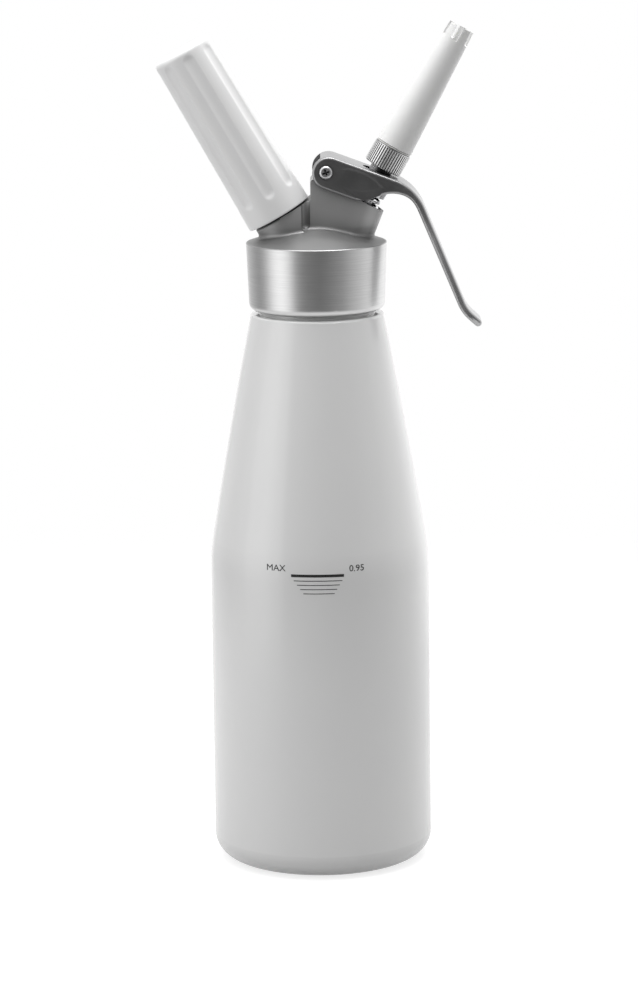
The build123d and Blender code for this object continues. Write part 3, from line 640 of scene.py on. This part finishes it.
def make_thread(name, body, node, origin, axis, radius, rise, low, high, pitch, widths):
    """Helical ridge round a node, between two heights; widths are those of its foot and its crest."""
    across = SIDE.cross(axis)
    foot = radius - THREAD_ROOT
    count = round((high - low) / pitch * THREAD_SEGMENTS)
    edit = bmesh.new()
    sections = []
    for i in range(count + 1):
        angle = 2 * pi * i / THREAD_SEGMENTS
        fade = min(1, i / THREAD_FADE, (count - i) / THREAD_FADE)
        out = across * cos(angle) + SIDE * sin(angle)
        crest = foot + (radius + rise - foot) * fade
        middle = origin + axis * (low + pitch * i / THREAD_SEGMENTS)
        sections.append([edit.verts.new(middle + out * r + axis * h) for r, h in (
            (foot, -widths[0] / 2), (crest, -widths[1] / 2), (crest, widths[1] / 2),
            (foot, widths[0] / 2))])
    for a, b in zip(sections, sections[1:]):
        for k in range(4):
            edit.faces.new((a[k], a[(k + 1) % 4], b[(k + 1) % 4], b[k]))
    edit.faces.new(sections[0])
    edit.faces.new(sections[-1])
    slot = SLOT_OF[node]
    new_piece(name, finished_mesh(edit, name, THREAD_SHARP_EDGE), MATERIALS[slot], body)


make_holder()
make_screw("front_screw", "front_pivot_screw", -1)
make_screw("rear_screw", "rear_pivot_screw", 1)
make_spring()
make_thread("neck_thread", "bottle", "bottle", Vector((0, 0, 0)), UP, NECK_RADIUS, rise=1.0 * MM,
            low=LEDGE + 3.5 * MM, high=NECK_TOP - 2.0 * MM, pitch=4.0 * MM, widths=(1.8 * MM, 0.8 * MM))
make_thread("stub_thread", "head", "head_body", HOLDER_CROSS, HOLDER_AXIS, STUB_RADIUS, rise=0.3 * MM,
            low=STUB_BASE + 2.0 * MM, high=STUB_TOP - 1.2 * MM, pitch=2.0 * MM,
            widths=(1.3 * MM, 0.4 * MM))
make_thread("post_thread", "valve", "nozzle_adapter", VALVE_CROSS, VALVE_AXIS, POST_RADIUS,
            rise=0.12 * MM, low=POST_BASE + 1.4 * MM, high=POST_TOP - 0.9 * MM, pitch=2.0 * MM,
            widths=(1.2 * MM, 0.4 * MM))


# ---- fill mark ----
def bottle_front(x, z):
    """Radius of the bottle at a height, and how far its front surface lies from the XZ plane."""
    rise = max(0.0, z - STRAIGHT_TOP)
    radius = BOTTLE_RADIUS - SHOULDER_RADIUS + sqrt(SHOULDER_RADIUS ** 2 - rise ** 2)
    return radius, sqrt(radius ** 2 - x ** 2)


def wrap_on_bottle(mesh):
    """Bend a flat print, drawn in X and Z with Y as its depth, onto the bottle's front."""
    for vertex in mesh.vertices:
        x, depth, z = vertex.co
        radius, y = bottle_front(x, z)
        out = (radius + (PRINT_HEIGHT if depth > 0 else -PRINT_DEPTH)) / radius
        vertex.co = (x * out, -y * out, z)


def add_print(name, mesh):
    """Put a flat print on the bottle."""
    wrap_on_bottle(mesh)
    new_piece(name, mesh, INK, "bottle")


def bar_mesh(name, left, right, z, thickness):
    """Thin closed bar in X and Z, cut into short steps so that it can bend."""
    steps = max(2, round((right - left) / PRINT_STEP))
    low, high = z - thickness / 2, z + thickness / 2
    corners = [(0, low), (1, low), (1, high), (0, high)]
    points = [(left + (right - left) * i / steps, y, z) for i in range(steps + 1) for y, z in corners]
    faces = [(0, 1, 2, 3), tuple(4 * steps + k for k in (3, 2, 1, 0))]
    for i in range(steps):
        for k in range(4):
            j = (k + 1) % 4
            faces.append((4 * i + j, 4 * i + k, 4 * i + 4 + k, 4 * i + 4 + j))
    mesh = bpy.data.meshes.new(name)
    mesh.from_pydata(points, [], faces)
    return mesh


def word_mesh(name, text, left, base):
    """A short plain word or number in X and Z."""
    curve = bpy.data.curves.new(name, "FONT")
    curve.body = text
    curve.size = WORD_SIZE
    curve.extrude = PRINT_DEPTH
    curve.resolution_u = WORD_RESOLUTION
    source = add_object(name + "_source", curve)
    mesh = mesh_of(source)
    bpy.data.objects.remove(source)
    for vertex in mesh.vertices:
        x, y, z = vertex.co
        vertex.co = (left + x, z, base + y)
    mesh.flip_normals()
    return mesh


add_print("print_mark", bar_mesh("print_mark", MARK_LEFT, MARK_RIGHT, MARK_Z, MARK_THICKNESS))
for i in range(STEP_COUNT):
    name = f"print_step_{i + 1}"
    add_print(name, bar_mesh(name, STEP_LEFT + i * STEP_INSET[0], STEP_RIGHT - i * STEP_INSET[1],
                             STEP_Z - i * STEP_PITCH, STEP_THICKNESS))
for name, (text, left, base) in WORDS.items():
    add_print(name, word_mesh(name, text, left, base))


# ---- stage: floor, light and camera ----
def make_floor():
    """Pale round table that fades into the white backdrop and keeps the shadow."""
    mesh = bpy.data.meshes.new("floor")
    edit = bmesh.new()
    bmesh.ops.create_circle(edit, cap_ends=True, radius=FLOOR_RADIUS, segments=FLOOR_SEGMENTS)
    edit.to_mesh(mesh)
    edit.free()
    floor = add_object("floor", mesh)
    material, shader = new_material("pale_floor")
    finish_shader(material, shader, Base_Color=(FLOOR_TONE, FLOOR_TONE, FLOOR_TONE, 1),
                  Roughness=FLOOR_ROUGHNESS)
    path = add(material, "LightPath")
    glow = math(material, "ADD", math(material, "MULTIPLY", path.outputs["Is Camera Ray"], FLOOR_GLOW),
                math(material, "MULTIPLY", path.outputs["Is Glossy Ray"], FLOOR_GLOSS))
    glow = add(material, "Emission", [("Strength", glow)], Color=(1, 1, 1, 1))
    table = add(material, "AddShader", [(0, shader.outputs[0]), (1, glow.outputs[0])])
    far = add(material, "VectorMath", [(0, place(material))], operation="LENGTH").outputs["Value"]
    fade = between(material, far, FLOOR_FADE, FLOOR_RADIUS, curve="SMOOTHERSTEP")
    clear = add(material, "BsdfTransparent")
    mix = add(material, "MixShader", [(0, fade), (1, table.outputs[0]), (2, clear.outputs[0])])
    output = next(n for n in material.node_tree.nodes if n.type == "OUTPUT_MATERIAL")
    material.node_tree.links.new(mix.outputs[0], output.inputs["Surface"])
    dress(floor, material)


def make_world():
    """Studio surround: bright at the left and behind the object, dark behind the camera."""
    world = bpy.data.worlds.new("studio")
    world.use_nodes = True
    world.node_tree.nodes.clear()
    bpy.context.scene.world = world
    where = add(world, "TexCoord").outputs["Generated"]
    x, y, rise = add(world, "SeparateXYZ", [("Vector", where)]).outputs
    azimuth = math(world, "ARCTAN2", x, math(world, "MULTIPLY", y, -1.0))
    share = between(world, azimuth, -pi, pi)

    def band(lights):
        node = add(world, "ValToRGB", [("Fac", share)])
        stops = node.color_ramp.elements
        node.color_ramp.interpolation = "EASE"
        for i, (angle, light) in enumerate(lights):
            position = (angle + 180) / 360
            stop = stops[i] if i < 2 else stops.new(position)
            stop.position = position
            stop.color = (light, light, light, 1)
        return node.outputs[0]

    upper = between(world, rise, UPPER_START, UPPER_FULL, curve="SMOOTHSTEP")
    zenith = between(world, rise, ZENITH_START, ZENITH_FULL, curve="SMOOTHSTEP")
    sides = mixed(world, upper, band(HORIZON_LIGHT), band(UPPER_LIGHT))
    lit = add(world, "Mix", [(0, zenith), (6, sides)], data_type="RGBA")
    lit.inputs[7].default_value = (ZENITH_LIGHT, ZENITH_LIGHT, ZENITH_LIGHT, 1)
    room = add(world, "Background", [("Color", lit.outputs[2])])
    white = add(world, "Background", Color=(1, 1, 1, 1), Strength=1.0)
    path = add(world, "LightPath")
    mix = add(world, "MixShader", [(0, path.outputs["Is Camera Ray"]), (1, room.outputs[0]),
                                   (2, white.outputs[0])])
    add(world, "OutputWorld", [("Surface", mix.outputs[0])])


def soft_box(name, place, target, side, radiance):
    """Square area lamp of a given radiance, which its size and power give."""
    lamp = bpy.data.lights.new(name, "AREA")
    lamp.shape = "SQUARE"
    lamp.size = side
    lamp.energy = radiance * pi * side ** 2
    box = add_object(name, lamp)
    box.location = place
    box.rotation_euler = (Vector(target) - Vector(place)).to_track_quat("-Z", "Y").to_euler()


def make_camera():
    """The photograph's camera, which looks along +Y and slightly down."""
    back = Vector((0, -cos(CAMERA_PITCH), sin(CAMERA_PITCH)))
    level_up = Vector((0, sin(CAMERA_PITCH), cos(CAMERA_PITCH)))
    right = RIGHT * cos(CAMERA_ROLL) - level_up * sin(CAMERA_ROLL)
    up = RIGHT * sin(CAMERA_ROLL) + level_up * cos(CAMERA_ROLL)
    data = bpy.data.cameras.new("camera")
    data.sensor_width = SENSOR
    data.lens = FOCAL_PIXELS * SENSOR / IMAGE_HEIGHT
    camera = add_object("camera", data)
    camera.matrix_world = Matrix((right, up, back)).transposed().to_4x4()
    camera.location = CAMERA_PLACE
    bpy.context.scene.camera = camera


make_floor()
make_world()
for name, values in SOFT_BOXES.items():
    soft_box(name, *values)
make_camera()
bpy.context.scene.view_settings.view_transform = "Standard"
